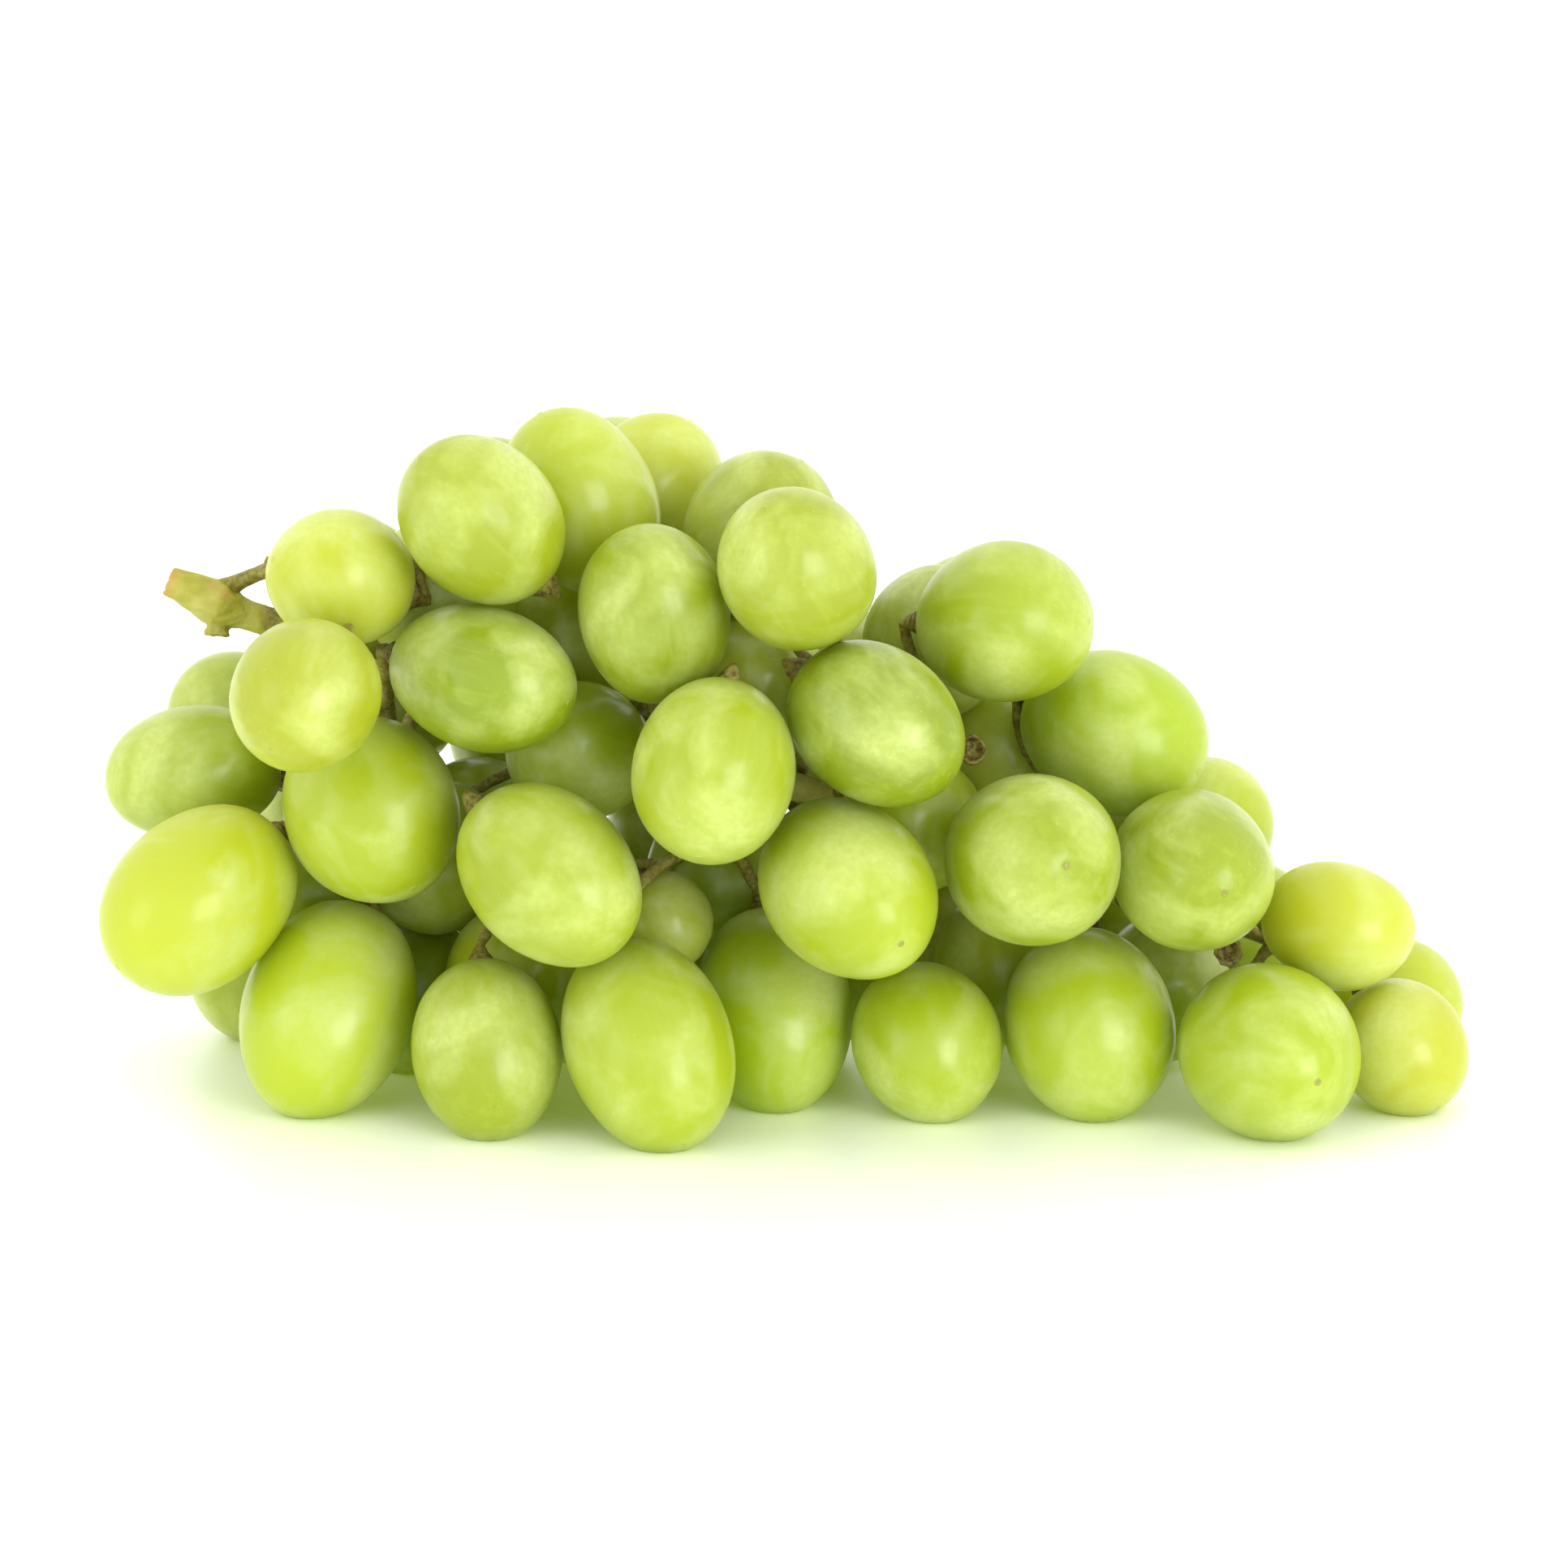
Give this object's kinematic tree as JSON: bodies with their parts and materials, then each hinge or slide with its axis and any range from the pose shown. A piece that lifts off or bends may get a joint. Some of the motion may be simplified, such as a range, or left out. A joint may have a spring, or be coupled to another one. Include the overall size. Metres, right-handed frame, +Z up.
{
  "type": "bunch of grapes",
  "caption": "Bunch of pale green table grapes lying on its side: oval berries packed round a branching stalk that is cut off at one end.",
  "frame": {"origin": "on the table, under the middle of the bunch", "axes": "+X along the bunch from the cut stalk to the tip, +Z up, -Y the side that the picture shows"},
  "size_m": [0.1668, 0.0918, 0.0838],
  "materials": {
    "grape_skin": "yellow-green waxy grape skin over translucent flesh, soft sheen under a pale dusty bloom",
    "stalk": "dull yellow-green stalk, browner at its joints and at the cut"
  },
  "bodies": {
    "root": {"stem": "stalk", "spray_left_shoulder": "grape_skin", "spray_upper_left": "grape_skin", "spray_front_left": "grape_skin", "spray_low_far_left": "grape_skin", "spray_top_left": "grape_skin", "spray_low_left": "grape_skin", "spray_middle": "grape_skin", "spray_low_middle": "grape_skin", "spray_top_middle": "grape_skin", "spray_low_right_middle": "grape_skin", "spray_top_right": "grape_skin", "spray_front_right": "grape_skin", "spray_right": "grape_skin", "spray_tip": "grape_skin", "spray_back_left_end": "grape_skin", "spray_back_left": "grape_skin", "spray_back_left_middle": "grape_skin", "spray_back_right_middle": "grape_skin", "spray_back_right": "grape_skin", "spray_back_right_end": "grape_skin"}
  },
  "joints": []
}
